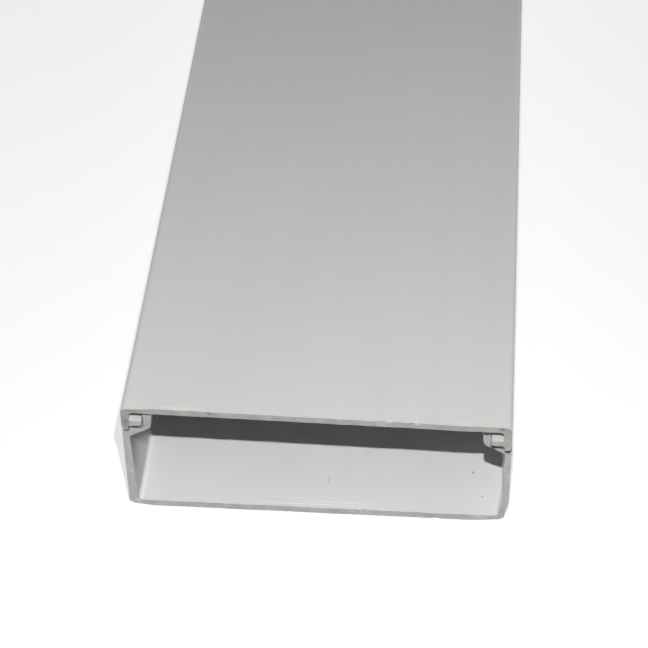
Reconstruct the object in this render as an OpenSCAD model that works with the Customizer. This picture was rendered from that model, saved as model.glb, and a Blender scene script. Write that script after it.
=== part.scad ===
// Cable trunking with a clip-on lid: two straight PVC extrusions, sawn to a stock length.
// It lies on its back. X runs across, Y along the length and Z up from the floor of the
// base, and the origin is under the middle of the length.

/* [Overall] */
// Outside width of the base
base_width = 100; // [60:1:200]
// Outside height with the lid on
overall_height = 36; // [25:0.5:100]
// Length of both extrusions
stock_length = 2000; // [200:50:3000]

/* [Base] */
// Thickness of the side walls
wall = 1.8; // [1.2:0.05:2.4]
// Thickness of the floor
floor_thickness = 1.9; // [1.2:0.05:3]
// How far the rim stands in from the outside of the wall
rim_inset = 5.5; // [4.5:0.1:9]
// Height of the rim above the shoulder that carries it
rim_height = 4.65; // [3.6:0.05:8]
// Thickness of the rim at its foot
rim_foot_thickness = 1.85; // [1.4:0.05:2.6]
// Thickness of the rim at its free edge
rim_edge_thickness = 2.05; // [1.4:0.05:2.6]
// Fall of the shoulder's upper face towards the wall, in degrees
shoulder_slope = 5; // [0:1:12]
// How far in from the outside the shoulder steps down to the ledge on top of the wall
ledge_width = 2; // [1.8:0.1:2.6]
// Height of that step
step_height = 1.3; // [0.6:0.1:2]
// How far the rim's inner face runs down past its outer one
rim_heel_drop = 0.3; // [0:0.1:1]
// Fall of the shoulder's underside towards the wall, in degrees
underside_slope = 34; // [26:1:40]

/* [Lid] */
// Thickness of the lid's flat top
lid_thickness = 1.75; // [1.2:0.05:3]
// Thickness of the skirts
skirt_thickness = 2; // [1.2:0.05:2.4]
// Thickness of the hook at its tip
hook_tip_thickness = 1.5; // [1:0.05:2]

/* [Rounding] */
// Radius under the outer edges of the base
base_edge_radius = 2; // [0.4:0.1:2.4]
// Radius between the floor and the walls
floor_corner_radius = 0.5; // [0.2:0.1:3]
// Radius at the outer edge of the ledge
ledge_radius = 0.9; // [0.3:0.1:1.3]
// Radius under the shoulder, against the wall
underside_radius = 1.3; // [0.4:0.1:2]
// Radius under the rim
rim_foot_radius = 2; // [0.4:0.1:2.4]
// Radius of the lid's two long upper edges
lid_edge_radius = 1.6; // [0.4:0.1:1.9]
// Radius inside those edges
lid_corner_radius = 1; // [0.2:0.1:1.4]
// Radius at the bottom of the skirts
skirt_radius = 1.1; // [0.2:0.1:1.2]
// Radius under the hook's tip
hook_radius = 0.7; // [0.2:0.1:0.8]
// Radius that takes the sharpness off the remaining corners
fine_radius = 0.25; // [0.1:0.05:0.4]

/* [Clearances] */
// How far the lid's side lies in from the base's side
lid_inset = 0.1; // [0:0.05:0.6]
// Between the lid's top and the edge of the rim
seat_gap = 0.2; // [0.1:0.05:0.6]
// Between the hook's tip and the rim, and between the skirt's foot and the step
hook_gap = 0.3; // [0.1:0.05:0.6]
// Between the shoulder and the hook, and between the ledge and the skirt
shoulder_gap = 0.3; // [0.1:0.05:0.8]

/* [Hidden] */
$fn = 48;
lap = 0.2;
crossing = 0.002;

half_width = base_width / 2;
wall_inside = half_width - wall;
rim_outside = half_width - rim_inset;
rim_inside = rim_outside - rim_foot_thickness;
rim_edge_inside = rim_outside - rim_edge_thickness;
lid_underside = overall_height - lid_thickness;
rim_edge = lid_underside - seat_gap;
rim_foot = rim_edge - rim_height;
rim_heel = rim_foot - rim_heel_drop;
step_side = half_width - ledge_width;
ledge = shoulder_height(step_side) - step_height;
underside_outer = rim_heel - (wall_inside - rim_inside) * tan(underside_slope);

lid_side = half_width - lid_inset;
skirt_inside = lid_side - skirt_thickness;
hook_tip = rim_outside + hook_gap;
hook_under = shoulder_height(hook_tip) + shoulder_gap;
hook_top = hook_under + hook_tip_thickness;
foot_inside = step_side + hook_gap;
foot_under = ledge + shoulder_gap;

// Height of the shoulder's upper face at a distance x from the middle
function shoulder_height(x) = rim_foot - (x - rim_outside) * tan(shoulder_slope);

function unit(v) = v / norm(v);

// What a round of radius r takes from the corner at p, or adds to it where the corner is an
// inner one. The corner's sides run from p towards a and towards b. The piece laps over both
// sides, and its circle is a hair large, so that it crosses them instead of only touching.
module corner_piece(p, a, b, r) {
    along_a = unit(a - p);
    along_b = unit(b - p);
    half_angle = acos(along_a * along_b) / 2;
    reach = r / tan(half_angle);
    centre = p + unit(along_a + along_b) * r / sin(half_angle);
    kite = [p, p + along_a * reach, centre, p + along_b * reach];
    translate(centre)
        difference() {
            polygon([for (corner = kite) (corner - centre) * (1 + lap / r)]);
            circle(r + crossing);
        }
}

// Rounds the numbered corners of an outline: radii lists [corner, radius], where a
// negative radius fills an inner corner
module rounded_outline(points, radii) {
    count = len(points);
    difference() {
        union() {
            polygon(points);
            for (item = radii)
                if (item[1] < 0)
                    corner_piece(points[item[0]], points[(item[0] + count - 1) % count],
                                 points[(item[0] + 1) % count], -item[1]);
        }
        for (item = radii)
            if (item[1] > 0)
                corner_piece(points[item[0]], points[(item[0] + count - 1) % count],
                             points[(item[0] + 1) % count], item[1]);
    }
}

// Right-hand half of the base: floor, wall with its ledge, shoulder and rim
module base_half_profile() {
    rounded_outline([
        [0, 0],
        [half_width, 0],
        [half_width, ledge],
        [step_side, ledge],
        [step_side, shoulder_height(step_side)],
        [rim_outside, rim_foot],
        [rim_outside, rim_edge],
        [rim_edge_inside, rim_edge],
        [rim_inside, rim_heel],
        [wall_inside, underside_outer],
        [wall_inside, floor_thickness],
        [0, floor_thickness]
    ], [
        [1, base_edge_radius],
        [2, ledge_radius],
        [3, -fine_radius],
        [4, fine_radius],
        [5, -fine_radius],
        [6, fine_radius],
        [7, fine_radius],
        [8, rim_foot_radius],
        [9, -underside_radius],
        [10, -floor_corner_radius]
    ]);
}

// Right-hand half of the lid: flat top, skirt, its foot beside the step, and the hook that
// reaches in under the top
module lid_half_profile() {
    rounded_outline([
        [0, lid_underside],
        [skirt_inside, lid_underside],
        [skirt_inside, hook_top],
        [hook_tip, hook_top],
        [hook_tip, hook_under],
        [foot_inside, shoulder_height(foot_inside) + shoulder_gap],
        [foot_inside, foot_under],
        [lid_side, foot_under],
        [lid_side, overall_height],
        [0, overall_height]
    ], [
        [1, -lid_corner_radius],
        [2, -fine_radius],
        [3, fine_radius],
        [4, hook_radius],
        [5, -fine_radius],
        [6, fine_radius],
        [7, skirt_radius],
        [8, lid_edge_radius]
    ]);
}

// Both halves of a profile, drawn out along the whole length
module extrusion() {
    rotate([90, 0, 0])
        linear_extrude(stock_length, center = true) {
            children();
            mirror([1, 0]) children();
        }
}

module trunking_base() {
    color("gainsboro") extrusion() base_half_profile();
}

module trunking_lid() {
    color("lightgray") extrusion() lid_half_profile();
}

trunking_base();
trunking_lid();
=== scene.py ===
import math

import bpy
import numpy as np
from mathutils import Matrix, Vector


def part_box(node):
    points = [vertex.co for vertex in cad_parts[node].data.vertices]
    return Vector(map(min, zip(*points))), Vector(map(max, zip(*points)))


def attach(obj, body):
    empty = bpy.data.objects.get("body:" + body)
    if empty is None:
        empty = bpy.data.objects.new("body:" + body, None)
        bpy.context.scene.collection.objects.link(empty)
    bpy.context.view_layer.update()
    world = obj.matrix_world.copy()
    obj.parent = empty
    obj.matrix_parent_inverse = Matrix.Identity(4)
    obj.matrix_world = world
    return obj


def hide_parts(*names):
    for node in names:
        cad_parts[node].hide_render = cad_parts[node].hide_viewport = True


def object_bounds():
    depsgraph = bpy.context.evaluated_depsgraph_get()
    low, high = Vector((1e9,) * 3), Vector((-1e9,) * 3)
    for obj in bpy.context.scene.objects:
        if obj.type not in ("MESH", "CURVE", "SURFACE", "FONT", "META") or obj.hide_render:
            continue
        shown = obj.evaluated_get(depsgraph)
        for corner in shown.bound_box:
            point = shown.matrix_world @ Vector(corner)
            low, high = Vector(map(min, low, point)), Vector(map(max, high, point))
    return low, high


# Cable trunking: a base and a clip-on lid, both extruded PVC, lying on their back with the
# sawn front end at -Y. What describes a piece, its sawn ends or its finish is in millimetres:
# across from the middle, up from the floor, and deep from the sawn end. The lamps, the floor
# and the camera are in metres.

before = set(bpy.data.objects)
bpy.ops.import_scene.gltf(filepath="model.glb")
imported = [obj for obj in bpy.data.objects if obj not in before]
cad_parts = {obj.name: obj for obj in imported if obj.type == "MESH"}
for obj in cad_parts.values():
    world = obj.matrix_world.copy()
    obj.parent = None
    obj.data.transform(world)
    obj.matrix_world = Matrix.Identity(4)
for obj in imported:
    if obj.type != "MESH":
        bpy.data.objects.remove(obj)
cadLow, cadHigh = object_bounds()
mm = 0.001
print("frame loaded:", [round(v, 4) for v in cadLow], [round(v, 4) for v in cadHigh])


# Shapes
fineness = {
    "depths": [0.12, 0.3, 0.55, 0.9, 1.4, 2.2, 3.5, 6, 10, 18, 32, 60, 110],  # rings near an end
    "middle": [-700, -350, 0, 350, 700],   # rings along the plain length
    "throughWall": 7,            # points from the outer to the inner side of the wall
    "wallSpan": 2,               # what the wall's thickness counts as in the streaks' pattern
    "sharpAngle": 40,            # degrees: edges sharper than this are shaded crisp
}
sawnEnd = {                      # where and how far each fault of a sawn end reaches
    "halfWidth": 50,
    "slowDepth": 50,             # skew, lean, sag and rise fade over this depth
    "waves": [                   # kind, direction across and up, pitch
        ("wander", 1.0, 0.6, 17), ("rough", 1.1, 0.4, 1.3), ("rough", -0.3, 1.2, 0.9),
    ],
    "leanAcross": (38, 47), "leanHeight": 33,        # in full past 47, at this height
    "sagUp": (10, 26), "rimSpan": 6,                 # grows upwards; from the wall to the rim
    "riseUp": (31, 34),                              # only below these heights
    "lipEdge": 0.3, "lipMean": 0.6, "lipSwing": 0.5, "lipPitch": 7, "lipDepth": 0.4,
    "chipHeight": 0.8, "chipDepth": 0.9,
    "burrHeight": 0.5, "burrDepth": 0.35, "burrForward": 0.6,
    "wearAcross": (40, 48), "wearUp": (34.3, 36), "wearDepth": 4,    # left top corner
    "cornerUp": (0.2, 2.2), "cornerDepth": 5,        # bottom corners
}
squareCut = {                    # a clean, square cut, which each piece's own cuts change
    "recess": 0.0,               # how far the end stands back
    "skew": 0.0, "tilt": 0.0,    # and how much further per millimetre to the right and up
    "sideways": 0.0,             # shift of the whole section
    "lean": 0.0,                 # how far the left side leans outward at its top
    "droop": ((0, 0), (0, 0)),   # sag of the left and right side: at the wall, at the rim
    "rise": 0.0,                 # lift of the left skirt's foot
    "topWear": 0.0,              # how much the left top corner is worn down
    "lip": 0.0,                  # burr lip along the edge
    "lipHeight": 36,             # where that edge is
    "wander": 0.05, "rough": 0.025, "settle": 0.5,   # waves of the saw, and the depth they reach
    "chips": [],                 # place across and up, half width, depth
    "burrs": [],                 # place across and up, half width, height
    "wornCorners": [],           # side, heights it ends between, start across, (inwards, up)
}


def unitVector(v):
    return v / np.hypot(*v)


def roundedSide(corners, radii, counts, arcCounts):
    # One side of the wall from its middle to its free edge: straight runs of counts[i] steps,
    # joined by arcs of arcCounts[i] steps. An arc turns the radius from its first tangent point
    # to its last: centre + (sin((1 - t) turn) a + sin(t turn) b) / sin(turn) with t from 0 to 1.
    corners = np.array(corners, float)
    start = corners[0]
    parts = []
    for i, radius in enumerate(radii):
        corner = corners[i + 1]
        back = unitVector(start - corner)
        ahead = unitVector(corners[i + 2] - corner)
        half = math.acos(float(np.clip(back @ ahead, -1, 1))) / 2
        reach = radius / math.tan(half)
        centre = corner + unitVector(back + ahead) * radius / math.sin(half)
        turn = math.pi - 2 * half
        first = corner + back * reach
        last = corner + ahead * reach
        t = np.linspace(0, 1, counts[i], endpoint=False)[:, None]
        parts.append(start * (1 - t) + first * t)
        t = np.linspace(0, 1, arcCounts[i], endpoint=False)[:, None]
        parts.append(centre + (np.sin((1 - t) * turn) * (first - centre)
                               + np.sin(t * turn) * (last - centre)) / math.sin(turn))
        start = last
    parts.append(np.array([start, corners[-1]]))
    return np.concatenate(parts)


def bothHalves(left, right):
    # the left half turned over and the right half, from the left free edge to the right one
    return np.concatenate([(left * [-1, 1])[:0:-1], right])


def edgeLoop(stations, across):
    # numbers of the points round the edge of a stations x across grid, in order
    n = np.arange(stations * across).reshape(stations, across)
    return np.concatenate([n[:, 0], n[-1, 1:], n[-2::-1, -1], n[0, -2:0:-1]])


def waver(u, pitch, seed, terms=9, spread=(0.45, 1.9), calm=1.6):
    # a sum of sines of random pitches round the given one, between about -1 and 1
    rng = np.random.default_rng(seed)
    pitches = pitch * rng.uniform(*spread, terms)
    phases = rng.uniform(0, 2 * math.pi, terms)
    waves = np.sin(np.asarray(u)[..., None] * 2 * math.pi / pitches + phases)
    return waves.sum(-1) / math.sqrt(terms * calm)


def ramp(value, low, high):
    # smooth step from 0 at low to 1 at high
    t = np.clip((value - low) / (high - low), 0, 1)
    return t * t * (3 - 2 * t)


def bulge(x, z, depth, spotX, spotZ, wide, high, deep):
    # 1 at a spot on the cut, fading as exp(-square) across and up and as exp(-depth) inwards
    return np.exp(-((x - spotX) / wide) ** 2 - ((z - spotZ) / high) ** 2) * np.exp(-depth / deep)


def endShift(x, z, depth, cut):
    # How far a point near a sawn end lies from where a square, clean cut would leave it, in mm:
    # (across, along, up). depth is its distance from the end, and along grows into the piece.
    # The plane of the cut and the sides' lean, sag and rise fade slowly with depth. To them come
    # waves, lip, chips, burrs and worn corners, which fade within a few millimetres.
    s = sawnEnd
    fade = np.exp(-depth / cut["settle"])
    slow = np.exp(-depth / s["slowDepth"])
    along = (cut["recess"] + cut["skew"] * x + cut["tilt"] * z) * slow
    for k, (size, byX, byZ, pitch) in enumerate(s["waves"]):
        along += cut[size] * waver(x * byX + z * byZ, pitch, cut["seed"] + k) * fade
    leaning = ramp(-x, *s["leanAcross"]) * z / s["leanHeight"]
    across = (cut["sideways"] - cut["lean"] * leaning) * slow
    atWall, atRim = np.where(x < 0, *np.array(cut["droop"])[:, :, None])
    sag = atWall + (atRim - atWall) * np.clip((s["halfWidth"] - abs(x)) / s["rimSpan"], 0, 1)
    rise = cut["rise"] * (1 - ramp(z, *s["riseUp"])) * (x < 0)
    up = (rise - sag * ramp(z, *s["sagUp"])) * slow
    lip = cut["lip"] * ramp(z, cut["lipHeight"] - s["lipEdge"], cut["lipHeight"])
    lipWave = waver(x, s["lipPitch"], cut["seed"] + len(s["waves"]))
    up += lip * (s["lipMean"] + s["lipSwing"] * lipWave) * np.exp(-depth / s["lipDepth"])
    for spotX, spotZ, wide, deep in cut["chips"]:
        along += deep * bulge(x, z, depth, spotX, spotZ, wide, s["chipHeight"], s["chipDepth"])
    for spotX, spotZ, wide, high in cut["burrs"]:
        burr = high * bulge(x, z, depth, spotX, spotZ, wide, s["burrHeight"], s["burrDepth"])
        up += burr
        along -= s["burrForward"] * burr
    worn = ramp(-x, *s["wearAcross"]) * ramp(z, *s["wearUp"]) * np.exp(-depth / s["wearDepth"])
    up -= cut["topWear"] * worn
    for side, low, high, start, (inwards, upwards) in cut["wornCorners"]:
        worn = ramp(side * x, start, s["halfWidth"]) * (1 - ramp(z, low, high))
        worn = worn * np.exp(-depth / s["cornerDepth"])
        across -= side * inwards * worn
        up += upwards * worn * (1 - ramp(z, *s["cornerUp"]))
    return across, along, up


def placed(points, depth, cut, endY, inward):
    # profile points at a depth from the sawn end at endY, moved as the cut says
    across, along, up = endShift(points[:, 0], points[:, 1], depth, cut)
    y = endY + inward * (depth + along)
    return np.stack([points[:, 0] + across, y, points[:, 1] + up], 1)


def shellFaces(stations, across, loop, rings):
    # quads of one end face, of the sides ring by ring, and of the other end face turned round
    n = np.arange(stations * across).reshape(stations, across)
    cap = np.stack([n[:-1, :-1], n[1:, :-1], n[1:, 1:], n[:-1, 1:]], -1).reshape(-1, 4)
    first = stations * across
    farCap = first + rings * len(loop)
    rows = [loop] + [first + k * len(loop) + np.arange(len(loop)) for k in range(rings)]
    rows.append(farCap + loop)
    sides = [np.stack([a, b, np.roll(b, -1), np.roll(a, -1)], 1) for a, b in zip(rows, rows[1:])]
    faces = np.concatenate([cap, *sides, cap[:, ::-1] + farCap])
    onCut = np.zeros(len(faces), np.int32)
    onCut[:len(cap)] = 1
    onCut[-len(cap):] = 1
    return faces, onCut


def shellVolume(vertices, faces):
    # a quad and the origin make two tetrahedra, and their signed volumes a . (b x c) / 6 add up
    a, b, c, d = (vertices[faces[:, k]] for k in range(4))
    return ((a * np.cross(b, c)).sum() + (a * np.cross(c, d)).sum()) / 6


def wallPlaces(outer, inner, across, loop, rings):
    # where each point lies in the wall: distance along its middle line, and across it
    steps = np.hypot(*np.diff((outer + inner) / 2, axis=0).T)
    along = np.repeat(np.concatenate([[0], np.cumsum(steps)]), across)
    through = np.tile(np.linspace(0, fineness["wallSpan"], across), len(outer))
    face = np.stack([along, through, along * 0], 1)
    return np.concatenate([face, *[face[loop]] * rings, face])


def extrusion(name, outer, inner, ends, cuts):
    # A wall profile carried along Y. Across the wall a point is outer + (inner - outer) * v; along
    # the length the profile's edge loop stands at each depth from both ends; and the two end
    # faces are the whole grid of the profile, moved as endShift says.
    depths = fineness["depths"]
    middle = fineness["middle"]
    across = fineness["throughWall"]
    stations = len(outer)
    v = np.linspace(0, 1, across)[None, :, None]
    grid = (outer[:, None, :] * (1 - v) + inner[:, None, :] * v).reshape(-1, 2)
    loop = edgeLoop(stations, across)
    edge = grid[loop]
    blocks = [placed(grid, 0.0, cuts[0], ends[0], 1)]
    blocks += [placed(edge, depth, cuts[0], ends[0], 1) for depth in depths]
    blocks += [np.stack([edge[:, 0], np.full(len(loop), y), edge[:, 1]], 1) for y in middle]
    blocks += [placed(edge, depth, cuts[1], ends[1], -1) for depth in depths[::-1]]
    blocks.append(placed(grid, 0.0, cuts[1], ends[1], -1))
    vertices = np.concatenate(blocks) * mm
    rings = len(depths) * 2 + len(middle)
    faces, onCut = shellFaces(stations, across, loop, rings)
    volume = shellVolume(vertices, faces)
    if volume < 0:               # the closed shell is inside out
        faces = faces[:, ::-1]

    mesh = bpy.data.meshes.new(name)
    mesh.from_pydata(vertices, [], faces)
    attribute = mesh.attributes.new("wallPlace", "FLOAT_VECTOR", "POINT")
    attribute.data.foreach_set("vector", wallPlaces(outer, inner, across, loop, rings).ravel())
    mesh.polygons.foreach_set("material_index", onCut)
    mesh.shade_smooth()
    mesh.set_sharp_from_angle(angle=math.radians(fineness["sharpAngle"]))
    mesh.validate()
    piece = bpy.data.objects.new(name, mesh)
    bpy.context.collection.objects.link(piece)
    print(name, len(vertices), "points,", len(faces), "faces,", round(abs(volume) * 1e6, 1), "ml")
    return piece


# Shader maths
class Link:
    # a shader socket that can stand in an expression: each operation adds its Math node
    def __init__(self, tree, socket):
        self.tree = tree
        self.socket = socket

    def maths(self, operation, *values):
        return makeNode(self.tree, "ShaderNodeMath", {"operation": operation}, *values)

    def __add__(self, other):
        return self.maths("ADD", self, other)

    def __radd__(self, other):
        return self.maths("ADD", other, self)

    def __sub__(self, other):
        return self.maths("SUBTRACT", self, other)

    def __rsub__(self, other):
        return self.maths("SUBTRACT", other, self)

    def __mul__(self, other):
        return self.maths("MULTIPLY", self, other)

    def __rmul__(self, other):
        return self.maths("MULTIPLY", other, self)

    def __pow__(self, other):
        return self.maths("POWER", self, other)

    def __rpow__(self, other):
        return self.maths("POWER", other, self)

    def __abs__(self):
        return self.maths("ABSOLUTE", self)

    def orMore(self, other):
        # the greater of the two
        return self.maths("MAXIMUM", self, other)

    def step(self, low, high):
        # 0 below low, 1 above high, smooth between
        return makeNode(self.tree, "ShaderNodeMapRange", {"interpolation_type": "SMOOTHSTEP"},
                        self, low, high, 0.0, 1.0)

    def between(self, start, end):
        # 0 outside, 1 inside: start and end are the two places where a smooth step begins and ends
        return self.step(*start) * (1 - self.step(*end))


def makeNode(tree, kind, settings, *values, out=0, **named):
    # settings come first, then the inputs in order or by name, as values or links; None skips one
    node = tree.nodes.new(kind)
    for key, setting in settings.items():
        setattr(node, key, setting)
    pairs = [(node.inputs[i], value) for i, value in enumerate(values)]
    pairs += [(node.inputs[key.replace("_", " ")], value) for key, value in named.items()]
    for socket, value in pairs:
        if isinstance(value, Link):
            tree.links.new(value.socket, socket)
        elif value is not None:
            socket.default_value = value
    return Link(tree, node.outputs[out]) if len(node.outputs) else node


def newMaterial(name):
    material = bpy.data.materials.new(name)
    material.use_nodes = True
    material.node_tree.nodes.clear()
    return material, material.node_tree


def grey(value):
    return (value, value, value, 1.0)


def colourMix(tree, factor, first, second, blend="MIX"):
    # the Mix node's inputs 1 to 5 are for numbers and vectors
    return makeNode(tree, "ShaderNodeMix", {"data_type": "RGBA", "blend_type": blend},
                    factor, *[None] * 5, first, second, out=2)


def toned(tree, colour, tone):
    # a colour made lighter or darker by a varying number round 1
    level = makeNode(tree, "ShaderNodeCombineColor", {}, tone, tone, tone)
    return colourMix(tree, 1.0, colour, level, "MULTIPLY")


def stretched(tree, place, factors):
    return makeNode(tree, "ShaderNodeVectorMath", {"operation": "MULTIPLY"}, place, factors)


def objectPlace(tree):
    return makeNode(tree, "ShaderNodeTexCoord", {}, out=3)


def millimetres(tree, stretch=(1, 1, 1)):
    # Object coordinates in millimetres, squeezed or stretched along each axis
    return stretched(tree, objectPlace(tree), tuple(s / mm for s in stretch))


def coordinate(tree, axis, place=None):
    # one Object coordinate in millimetres, or one coordinate of the place that is given
    return makeNode(tree, "ShaderNodeSeparateXYZ", {}, place or millimetres(tree), out=axis)


def ellipse(x, y, spotX, spotY, wide, long):
    # 1 in the middle of a spot and 0 from its edge on: 1 - smooth step of (x / a)^2 + (y / b)^2
    far = ((x - spotX) * (1 / wide)) ** 2 + ((y - spotY) * (1 / long)) ** 2
    return 1 - far.step(0.0, 1.0)


# Finishes
pvc = {                          # what the finishes of both pieces share
    "ior": 1.46,
    "lines": 0.05, "bands": 0.03, "scuffs": 0.05,    # how much they change the skin's tone
    "dust": 0.55,                                    # how much a speck covers
    "lineHeight": 0.006, "bandHeight": 0.03, "peelHeight": 0.004, "skinBump": 1.0,
    "roughByLines": 0.10, "roughByClouds": 0.08, "roughByScuffs": 0.12,
    "streaks": 0.6, "grain": 0.35, "patches": 0.5, "torn": 0.2,      # in a cut face's tone
    "streakHeight": 0.08, "grainHeight": 0.05, "sawnBump": 0.5,
    "sawnRoughness": 0.72, "roughByGrain": 0.2,
}
patterns = {                     # stretch along each axis, then scale, detail and roughness
    "lines": ((1, 0.0025, 1), 1.6, 3.0, 0.6),
    "bands": ((1, 0.004, 1), 0.14, 2.0, 0.5),
    "clouds": ((1, 0.45, 1), 0.045, 3.0, 0.55),
    "scuffs": ((0.9, 0.05, 0.9), 1.1, 4.0, 0.65),
    "scuffArea": ((1, 1, 1), 0.03, 2.0, 0.5),
    "dustArea": ((1, 1, 1), 0.11, 1.0, 0.5),
    "peel": ((1, 1, 1), 0.9, 2.0, 0.5),
    "streaks": ((0.16, 1.5, 1), 1.5, 3.0, 0.6),
    "patches": ((1, 1, 1), 0.28, 2.0, 0.5),
    "grain": ((1, 1, 1), 2.2, 3.0, 0.6),
    "torn": ((1, 1, 1), 1.3, 2.0, 0.5),
}
shown = {                        # where a pattern begins to show, and where it shows in full
    "scuffs": (0.66, 0.74), "scuffArea": (0.5, 0.62), "dust": (0.035, 0.07),
    "dustArea": (0.55, 0.6), "patches": (0.4, 0.65), "torn": (0.62, 0.72),
}


def noise(tree, kind, place=None):
    # a named pattern, over Object coordinates in millimetres or over the place that is given
    stretch, scale, detail, roughness = patterns[kind]
    vector = stretched(tree, place, stretch) if place else millimetres(tree, stretch)
    return makeNode(tree, "ShaderNodeTexNoise", {"noise_dimensions": "3D"}, Vector=vector,
                    Scale=scale, Detail=detail, Roughness=roughness)


def mask(tree, kind):
    # 0 where a named pattern doesn't show, 1 where it shows in full
    return noise(tree, kind).step(*shown[kind])


def swing(pattern):
    # a pattern's swing about its middle value
    return pattern - 0.5


def paintedInsideShading(x, depth, z, paintedShading):
    # How much darker than the plain skin, as a share: painted shade on the left inner wall, more of
    # it high up and near the end, and painted shade in the grooves at the rims' feet. The right
    # inner wall is painted lighter, and a painted highlight runs along the left corner.
    left = 0 - x
    side = abs(x)
    nearer = paintedShading["nearEnd"] - depth.step(*paintedShading["nearDepth"]) * (paintedShading["nearEnd"] - 1)
    higher = paintedShading["lowShare"] + z.step(*paintedShading["wallUp"]) * (1 - paintedShading["lowShare"])
    wall = left.between(*paintedShading["leftWall"]) * nearer * higher
    groove = side.between(*paintedShading["grooveAcross"]) * z.between(*paintedShading["grooveUp"])
    paintedLighter = x.between(*paintedShading["rightWall"]) * (1 - z.step(*paintedShading["lighterBelow"]))
    gleam = left.between(*paintedShading["cornerAcross"]) * (1 - z.step(*paintedShading["cornerBelow"]))
    return (wall * paintedShading["wall"] + groove * paintedShading["groove"]
            - paintedLighter * paintedShading["paintedLighter"] - gleam * paintedShading["gleam"])


def pvcFinish(tree, colour, roughness, height, strength):
    bump = makeNode(tree, "ShaderNodeBump", {}, Strength=strength, Distance=mm, Height=height)
    shader = makeNode(tree, "ShaderNodeBsdfPrincipled", {}, Base_Color=colour,
                      Roughness=roughness, IOR=pvc["ior"], Normal=bump)
    makeNode(tree, "ShaderNodeOutputMaterial", {}, shader)


def extrudedSkin(name, look):
    # drawn PVC skin: lines and bands along the length, faint clouds, scuffs, specks of dust,
    # painted shade and light inside the base, and marks and painted highlights on the surfaces
    # between two heights
    material, tree = newMaterial(name)
    lines = noise(tree, "lines")
    bands = noise(tree, "bands")
    clouds = noise(tree, "clouds")
    scuffs = mask(tree, "scuffs") * mask(tree, "scuffArea")
    x = coordinate(tree, 0)
    depth = coordinate(tree, 1) - float(cadLow[1]) / mm
    z = coordinate(tree, 2)
    tone = (1 + swing(lines) * pvc["lines"] + swing(bands) * pvc["bands"]
            + swing(clouds) * look["clouds"] + scuffs * pvc["scuffs"])
    # painted shade and light inside the base
    if "paintedShading" in look:
        tone = tone - paintedInsideShading(x, depth, z, look["paintedShading"])
    dust = makeNode(tree, "ShaderNodeTexVoronoi", {"feature": "F1"}, Vector=millimetres(tree),
                    Scale=look["dustScale"], Randomness=1.0)
    specks = (1 - dust.step(*shown["dust"])) * mask(tree, "dustArea")
    colour = colourMix(tree, specks * pvc["dust"], toned(tree, look["colour"], tone),
                       look["dustColour"])
    marked = z.between(*look["marked"])
    for spotX, spotDepth, wide, long, amount, overlayColour in look["marksAndHighlights"]:
        spot = marked * ellipse(x, depth, spotX, spotDepth, wide, long)
        colour = colourMix(tree, spot * amount, colour, overlayColour)
    height = (lines * pvc["lineHeight"] + noise(tree, "peel") * pvc["peelHeight"]
              + bands * pvc["bandHeight"])
    roughness = (look["roughness"] + swing(lines) * pvc["roughByLines"]
                 + scuffs * pvc["roughByScuffs"] + swing(clouds) * pvc["roughByClouds"])
    pvcFinish(tree, colour, roughness, height, pvc["skinBump"])
    return material


def sawnFace(name, look):
    # a cut face: streaks that follow the wall, patches of two tints, grain and torn specks, a
    # lighter lower part, and at their places stains, nicks, painted shadows and painted highlights
    material, tree = newMaterial(name)
    wall = makeNode(tree, "ShaderNodeAttribute", {"attribute_name": "wallPlace"}, out=1)
    streaks = noise(tree, "streaks", wall)
    patches = noise(tree, "patches")
    grain = noise(tree, "grain")
    x = coordinate(tree, 0)
    z = coordinate(tree, 2)
    tone = (1 + swing(streaks) * pvc["streaks"] + swing(grain) * pvc["grain"]
            + swing(patches) * pvc["patches"] + mask(tree, "torn") * pvc["torn"]
            + (1 - z.step(*look["liftedBelow"])) * look["lift"])
    tint = colourMix(tree, patches.step(*shown["patches"]), look["colour"], look["otherColour"])
    colour = toned(tree, tint, tone)
    # real stains and nicks, and painted shadows and highlights, each at its place
    for spotX, spotZ, wide, high, amount, spotColour in look["stainsAndShading"]:
        colour = colourMix(tree, ellipse(x, z, spotX, spotZ, wide, high) * amount, colour, spotColour)
    height = streaks * pvc["streakHeight"] + grain * pvc["grainHeight"]
    roughness = pvc["sawnRoughness"] + swing(grain) * pvc["roughByGrain"]
    pvcFinish(tree, colour, roughness, height, pvc["sawnBump"])
    return material


# Base
baseLow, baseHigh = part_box("trunking_base")
lidLow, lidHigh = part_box("trunking_lid")

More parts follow.
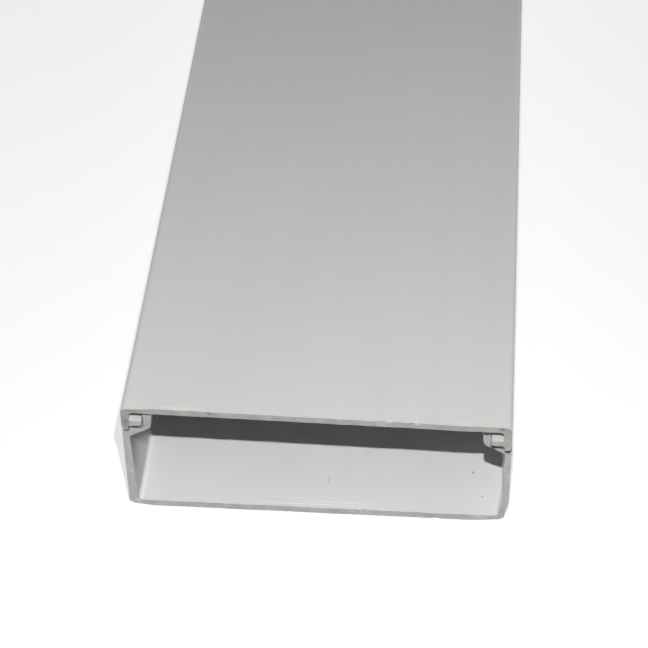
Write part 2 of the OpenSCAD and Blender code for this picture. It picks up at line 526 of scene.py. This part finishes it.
base = {
    "halfWidth": baseHigh[0] / mm, "rimTop": baseHigh[2] / mm,
    "wall": 1.8, "floor": 1.9,
    "rimInset": 5.5, "rimHeight": 4.65, "rimFoot": 1.85, "rimEdge": 2.05, "heelDrop": 0.3,
    "shoulderSlope": 5, "undersideSlope": 34,            # degrees
    "ledgeWidth": 2.0, "stepHeight": 1.3,
    "footIn": (0.65, -0.15), "headIn": (0.0, -0.15),     # left and right wall's extra thickness
    "floorRadius": (1.2, 0.9),                           # left and right fillet on the floor
    "edgeRadius": 2.0, "ledgeRadius": 0.9, "undersideRadius": 1.3, "rimFootRadius": 2.0,
    "fineRadius": 0.25,
    "frontCut": {
        **squareCut, "recess": 1.0, "skew": 0.003, "tilt": 0.018, "lean": 0.5,
        "droop": ((0.4, 0.8), (0.7, 1.35)), "seed": 3,
        "chips": [(-47.5, 2.2, 0.7, 0.35), (12.0, 1.9, 0.5, 0.22), (31.0, 0.2, 0.9, 0.3),
                  (-22.0, 1.9, 0.35, 0.2)],
        "burrs": [(-8.0, 1.9, 0.5, 0.12), (26.5, 1.9, 0.7, 0.15), (38.0, 1.9, 0.4, 0.12)],
        "wornCorners": [(-1, 1.0, 3.0, 43.0, (0.0, 0.8)), (1, 1.5, 8.0, 40.0, (1.0, 0.75))],
    },
    "rearCut": {
        **squareCut, "recess": 0.3, "skew": 0.004, "seed": 8,
        "chips": [(20.0, 1.9, 0.6, 0.3), (-35.0, 0.2, 0.8, 0.3)],
        "burrs": [(5.0, 1.9, 0.6, 0.15)],
        "wornCorners": [(1, 1.0, 3.0, 46.0, (0.1, 0.3))],
    },
    "skin": {
        "colour": (0.64, 0.64, 0.641, 1.0), "roughness": 0.38, "clouds": 0.06,
        "dustScale": 0.35, "dustColour": grey(0.12),
        "paintedShading": {                # painted shade and light: amounts, and the places across, up and deep where they lie
            # painted shade on the left inner wall
            "wall": 0.42, "leftWall": ((47.3, 47.8), (48.8, 49.2)),
            "nearEnd": 1.8, "nearDepth": (3, 14), "lowShare": 0.35, "wallUp": (6, 24),
            # painted shade in the grooves at the rims' feet
            "groove": 0.6, "grooveAcross": ((44.0, 44.5), (45.6, 46.4)),
            "grooveUp": ((27.6, 28.2), (30.5, 33)),
            # painted light on the right inner wall
            "paintedLighter": 0.45, "rightWall": ((47.6, 48.1), (48.8, 49.2)), "lighterBelow": (21, 25),
            # painted highlight along the left corner
            "gleam": 0.12, "cornerAcross": ((46.2, 46.7), (47.3, 47.7)),
            "cornerBelow": (2.8, 3.4),
        },
        "marked": ((1.5, 1.7), (2.3, 2.6)),          # marks show on the floor of the base
        "marksAndHighlights": [               # place across and deep, half sizes, amount, colour
            (2.3, 11.4, 0.35, 2.2, 0.35, grey(0.2)),
            (40.5, 16.8, 0.35, 0.6, 0.8, grey(0.12)),
            (43.2, 8.0, 0.5, 0.5, 0.5, grey(0.2)),
            (-2.0, 2.2, 21.0, 0.3, 0.5, grey(0.85)),
            (4.0, 3.3, 14.0, 0.3, 0.45, grey(0.85)),
            (-8.0, 4.3, 9.0, 0.25, 0.3, grey(0.85)),
        ],
    },
    "sawn": {
        "colour": (0.408, 0.406, 0.404, 1.0), "otherColour": (0.415, 0.407, 0.398, 1.0),
        "liftedBelow": (12.0, 26.0), "lift": 0.06,   # a lighter lower part
        "stainsAndShading": [              # place across and up, half sizes, amount, colour
            (-46.8, 28.2, 2.0, 0.5, 0.85, grey(0.03)),   # painted shadows from here to the bright nicks: seams along the lid, gaps by the hooks
            (-44.95, 30.9, 0.3, 2.2, 0.75, grey(0.05)),
            (-45.2, 28.9, 0.6, 0.8, 0.85, grey(0.04)),
            (-49.1, 26.95, 1.0, 0.4, 0.8, grey(0.03)),
            (46.6, 26.9, 1.5, 0.4, 0.8, grey(0.03)),
            (45.2, 26.8, 1.1, 1.0, 0.95, grey(0.03)),
            (43.5, 31.2, 1.5, 0.45, 0.85, grey(0.04)),
            (-43.7, 32.85, 1.5, 0.35, 0.75, grey(0.04)),
            (44.55, 28.2, 0.2, 1.6, 0.6, grey(0.05)),
            (48.8, 25.2, 1.1, 0.45, 0.8, grey(0.03)),
            (48.2, 20.3, 0.35, 0.35, 0.9, grey(0.9)),    # bright nicks
            (48.1, 18.4, 0.35, 0.6, 0.8, grey(0.9)),
            (47.9, 9.0, 0.3, 0.9, 0.6, grey(0.9)),
            (-49.0, 12.5, 0.8, 0.9, 0.4, grey(0.7)),
        ],
    },
}


def shoulderHeight(b, x):
    # height of the shoulder's upper face at a distance x from the middle
    rimOut = b["halfWidth"] - b["rimInset"]
    return b["rimTop"] - b["rimHeight"] - (x - rimOut) * math.tan(math.radians(b["shoulderSlope"]))


def baseProfile(b):
    # outer and inner side of the base's wall, with as many points on each
    inside = b["halfWidth"] - b["wall"]
    rimOut = b["halfWidth"] - b["rimInset"]
    rimIn = rimOut - b["rimFoot"]
    rimEdgeIn = rimOut - b["rimEdge"]
    stepSide = b["halfWidth"] - b["ledgeWidth"]
    ledge = shoulderHeight(b, stepSide) - b["stepHeight"]
    heel = shoulderHeight(b, rimOut) - b["heelDrop"]
    under = heel - (inside - rimIn) * math.tan(math.radians(b["undersideSlope"]))
    fine = b["fineRadius"]
    outer = roundedSide([(0, 0), (b["halfWidth"], 0), (b["halfWidth"], ledge), (stepSide, ledge),
                         (stepSide, shoulderHeight(b, stepSide)),
                         (rimOut, shoulderHeight(b, rimOut)),
                         (rimOut, b["rimTop"]), (rimOut - fine, b["rimTop"])],
                        [b["edgeRadius"], b["ledgeRadius"], fine, fine, fine, fine],
                        [150, 48, 3, 4, 7, 10], [9, 8, 3, 3, 4, 5])[:-1]     # steps: runs, arcs
    inner = [roundedSide([(0, b["floor"]), (inside - foot, b["floor"]), (inside - head, under),
                          (rimIn, heel), (rimEdgeIn, b["rimTop"]), (rimEdgeIn + fine, b["rimTop"])],
                         [radius, b["undersideRadius"], b["rimFootRadius"], fine],
                         [150, 48, 14, 10], [9, 11, 7, 5])[:-1]
             for foot, head, radius in zip(b["footIn"], b["headIn"], b["floorRadius"])]
    return bothHalves(outer, outer), bothHalves(*inner)


basePiece = extrusion("base_extrusion", *baseProfile(base), (baseLow[1] / mm, baseHigh[1] / mm),
                      (base["frontCut"], base["rearCut"]))
basePiece.data.materials.append(extrudedSkin("basePvc", base["skin"]))
basePiece.data.materials.append(sawnFace("baseSawn", base["sawn"]))


# Lid
lid = {
    "side": lidHigh[0] / mm, "top": lidHigh[2] / mm,
    "thickness": 1.75, "skirt": 2.0,
    "hookGap": 0.3, "shoulderGap": 0.3, "hookTip": 1.5,
    "edgeRadius": 1.6, "cornerRadius": 1.0, "skirtRadius": 1.1, "hookRadius": 0.7,
    "fineRadius": 0.25,
    "frontCut": {
        **squareCut, "recess": -0.25, "skew": -0.011, "sideways": -0.13, "lean": 0.27,
        "rise": 0.25, "topWear": 0.5, "lip": 0.07, "seed": 21,
        "chips": [(17.0, 36.0, 1.0, 0.3), (24.5, 36.0, 0.4, 0.2), (-27.5, 35.2, 0.25, 0.5),
                  (47.3, 35.2, 0.5, 0.25)],
        "burrs": [(18.5, 36.0, 0.9, 0.22), (20.8, 36.0, 0.4, 0.18), (25.5, 36.0, 0.3, 0.12)],
    },
    "rearCut": {
        **squareCut, "skew": -0.005, "lip": 0.05, "seed": 27,
        "chips": [(-12.0, 36.0, 0.8, 0.3)],
        "burrs": [(30.0, 36.0, 0.6, 0.18)],
    },
    "skin": {
        "colour": (0.555, 0.56, 0.543, 1.0), "roughness": 0.5, "clouds": 0.07,
        "dustScale": 0.22, "dustColour": grey(0.2),
        "marked": ((34.5, 35.0), (40.0, 41.0)),      # marks and painted highlights show on the top of the lid
        "marksAndHighlights": [               # place across and deep, half sizes, amount, colour
            (-35.0, 1.0, 9.0, 0.7, 0.2, grey(0.85)),
            # painted highlights at the burrs on the top front edge
            (18.6, -0.1, 1.3, 0.4, 0.6, grey(0.85)),
            (25.5, -0.1, 0.5, 0.35, 0.6, grey(0.85)),
            (38.0, 0.6, 7.0, 0.5, 0.08, grey(0.85)),
        ],
    },
    "sawn": {
        "colour": (0.357, 0.361, 0.347, 1.0), "otherColour": (0.372, 0.364, 0.346, 1.0),
        "liftedBelow": (31.5, 34.5), "lift": 0.13,   # lighter skirts and hooks
        "stainsAndShading": [              # place across and up, half sizes, amount, colour
            (-49.2, 31.0, 1.7, 3.0, 0.75, (0.25, 0.215, 0.19, 1.0)),   # brown left skirt
            (-47.0, 35.3, 5.0, 1.3, 0.5, (0.27, 0.255, 0.24, 1.0)),
            (-49.0, 31.2, 0.9, 0.7, 0.5, (0.16, 0.13, 0.12, 1.0)),
            (47.3, 35.2, 0.9, 0.4, 0.75, grey(0.1)),     # dark nicks
            (-27.5, 35.2, 0.5, 0.6, 0.5, grey(0.1)),
            (18.4, 35.8, 1.3, 0.3, 0.8, grey(0.8)),      # painted highlights on the burrs
            (25.5, 35.8, 0.5, 0.3, 0.8, grey(0.8)),
        ],
    },
}


def lidProfile(s, b):
    # outer and inner side of the lid's wall: over the top, down the skirt, in along the hook
    inside = s["side"] - s["skirt"]
    tip = b["halfWidth"] - b["rimInset"] + s["hookGap"]
    stepSide = b["halfWidth"] - b["ledgeWidth"]
    footInside = stepSide + s["hookGap"]
    footUnder = shoulderHeight(b, stepSide) - b["stepHeight"] + s["shoulderGap"]
    corner = shoulderHeight(b, footInside) + s["shoulderGap"]
    under = shoulderHeight(b, tip) + s["shoulderGap"]
    top = s["top"]
    below = top - s["thickness"]
    hookTop = under + s["hookTip"]
    fine = s["fineRadius"]
    middleOfTip = (tip, under + s["hookTip"] / 2)
    outer = roundedSide([(0, top), (s["side"], top), (s["side"], footUnder),
                         (footInside, footUnder), (footInside, corner), (tip, under), middleOfTip],
                        [s["edgeRadius"], s["skirtRadius"], fine, fine, s["hookRadius"]],
                        [200, 14, 2, 4, 8], [10, 9, 3, 3, 9])[:-1]           # steps: runs, arcs
    inner = roundedSide([(0, below), (inside, below), (inside, hookTop), (tip, hookTop),
                         middleOfTip],
                        [s["cornerRadius"], fine, fine], [200, 17, 15], [10, 11, 9])[:-1]
    return bothHalves(outer, outer), bothHalves(inner, inner)


lidPiece = extrusion("lid_extrusion", *lidProfile(lid, base), (lidLow[1] / mm, lidHigh[1] / mm),
                     (lid["frontCut"], lid["rearCut"]))
lidPiece.data.materials.append(extrudedSkin("lidPvc", lid["skin"]))
lidPiece.data.materials.append(sawnFace("lidSawn", lid["sawn"]))
print("finishes done")

for piece, node, body, slotName in ((basePiece, "trunking_base", "base", "base_pvc"),
                                    (lidPiece, "trunking_lid", "lid", "lid_pvc")):
    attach(piece, body)
    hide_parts(node)


# Studio
studio = {
    "worldLevel": 0.033,         # even light from all round
    "keyPlace": (0.034, -1.285, 0.4065), "keyRadius": 0.0035, "keyPower": 10.6,
    "floorReach": 12.0, "floorDrop": 0.0002, "floorColour": grey(0.35), "floorGlow": 0.68,
    "glow": (0.15, 0.7),         # distances from the trunking between which the floor turns white
}
softboxes = {                    # place, target, size, spread in degrees, power
    "frontTop": ((0.0, -1.33, 1.1), (0.0, -1.0, 0.0), (0.6, 0.55), 180, 1.2),
    "longTop": ((0.0, 0.33, 1.1), (0.0, 0.33, 0.0), (0.5, 1.7), 30, 1.4),
    "leftSide": ((-1.3, 0.0, 0.1), (0.0, 0.0, 0.02), (1.9, 0.12), 60, 1.7),
    "rightSide": ((1.3, 0.0, 0.1), (0.0, 0.0, 0.02), (1.9, 0.12), 60, 1.7),
    "rear": ((0.1, 2.1, 0.12), (0.0, 1.0, 0.02), (0.6, 0.15), 60, 1.2),
}


def isSeen(tree):
    # 1 for camera, glossy and transmission rays
    camera, glossy, through = (makeNode(tree, "ShaderNodeLightPath", {}, out=ray) for ray in (
        "Is Camera Ray", "Is Glossy Ray", "Is Transmission Ray"))
    return camera.orMore(glossy).orMore(through)


world = bpy.data.worlds.new("studioWorld")
bpy.context.scene.world = world
world.use_nodes = True
tree = world.node_tree
tree.nodes.clear()
level = studio["worldLevel"]
strength = level + isSeen(tree) * (1 - level)
makeNode(tree, "ShaderNodeOutputWorld", {},
         makeNode(tree, "ShaderNodeBackground", {}, Color=grey(1.0), Strength=strength))

floorMaterial, tree = newMaterial("paleFloor")
sideways, lengthways = (abs(coordinate(tree, axis, objectPlace(tree))) - float(cadHigh[axis])
                        for axis in (0, 1))
away = sideways.orMore(lengthways)
seen = isSeen(tree)
diffuse = makeNode(tree, "ShaderNodeBsdfDiffuse", {}, Color=studio["floorColour"])
glow = makeNode(tree, "ShaderNodeEmission", {}, Color=grey(1.0),
                Strength=seen * studio["floorGlow"])
white = makeNode(tree, "ShaderNodeEmission", {}, Color=grey(1.0), Strength=1.0)
nearFloor = makeNode(tree, "ShaderNodeAddShader", {}, diffuse, glow)
floorShader = makeNode(tree, "ShaderNodeMixShader", {}, seen * away.step(*studio["glow"]),
                       nearFloor, white)
makeNode(tree, "ShaderNodeOutputMaterial", {}, floorShader)

floorMesh = bpy.data.meshes.new("floor")
reach = studio["floorReach"]
floorMesh.from_pydata([(-reach, -reach, 0), (reach, -reach, 0), (reach, reach, 0),
                       (-reach, reach, 0)], [], [(0, 1, 2, 3)])
floorMesh.materials.append(floorMaterial)
floor = bpy.data.objects.new("floor", floorMesh)
bpy.context.collection.objects.link(floor)
floor.location.z = -studio["floorDrop"]


def newLamp(name, kind, place, power):
    data = bpy.data.lights.new(name, kind)
    data.energy = power
    lamp = bpy.data.objects.new(name, data)
    lamp.location = place
    bpy.context.collection.objects.link(lamp)
    return lamp


def softbox(name, place, target, size, spread, power):
    lamp = newLamp(name, "AREA", place, power)
    lamp.data.shape = "RECTANGLE"
    lamp.data.size, lamp.data.size_y = size
    lamp.data.spread = math.radians(spread)
    lamp.rotation_euler = (Vector(target) - Vector(place)).to_track_quat("-Z", "Y").to_euler()
    lamp.visible_camera = False


key = newLamp("key", "POINT", studio["keyPlace"], studio["keyPower"])
key.data.shadow_soft_size = studio["keyRadius"]
for name, values in softboxes.items():
    softbox(name, *values)
print("studio done")


# Camera
view = {
    "azimuth": 4.7281, "elevation": 41.8034, "roll": -0.6399, "distance": 0.56544,
    "target": (0.00227, -1.0, 0.067956), "lens": 128.557, "sensor": 36, "clipStart": 0.01,
}
azimuth, elevation, roll = (math.radians(view[k]) for k in ("azimuth", "elevation", "roll"))
back = Vector((math.sin(azimuth) * math.cos(elevation), -math.cos(azimuth) * math.cos(elevation),
               math.sin(elevation)))
right = Vector((math.cos(azimuth), math.sin(azimuth), 0))
up = back.cross(right)
rightRolled = right * math.cos(roll) + up * math.sin(roll)
upRolled = up * math.cos(roll) - right * math.sin(roll)
camera = bpy.data.objects.new("camera", bpy.data.cameras.new("camera"))
camera.data.lens = view["lens"]
camera.data.sensor_width = view["sensor"]
camera.data.clip_start = view["clipStart"]
turn = Matrix((rightRolled, upRolled, back)).transposed().to_4x4()
camera.matrix_world = Matrix.Translation(Vector(view["target"]) + back * view["distance"]) @ turn
bpy.context.collection.objects.link(camera)
bpy.context.scene.camera = camera
bpy.context.scene.view_settings.view_transform = "Standard"
print("camera done")
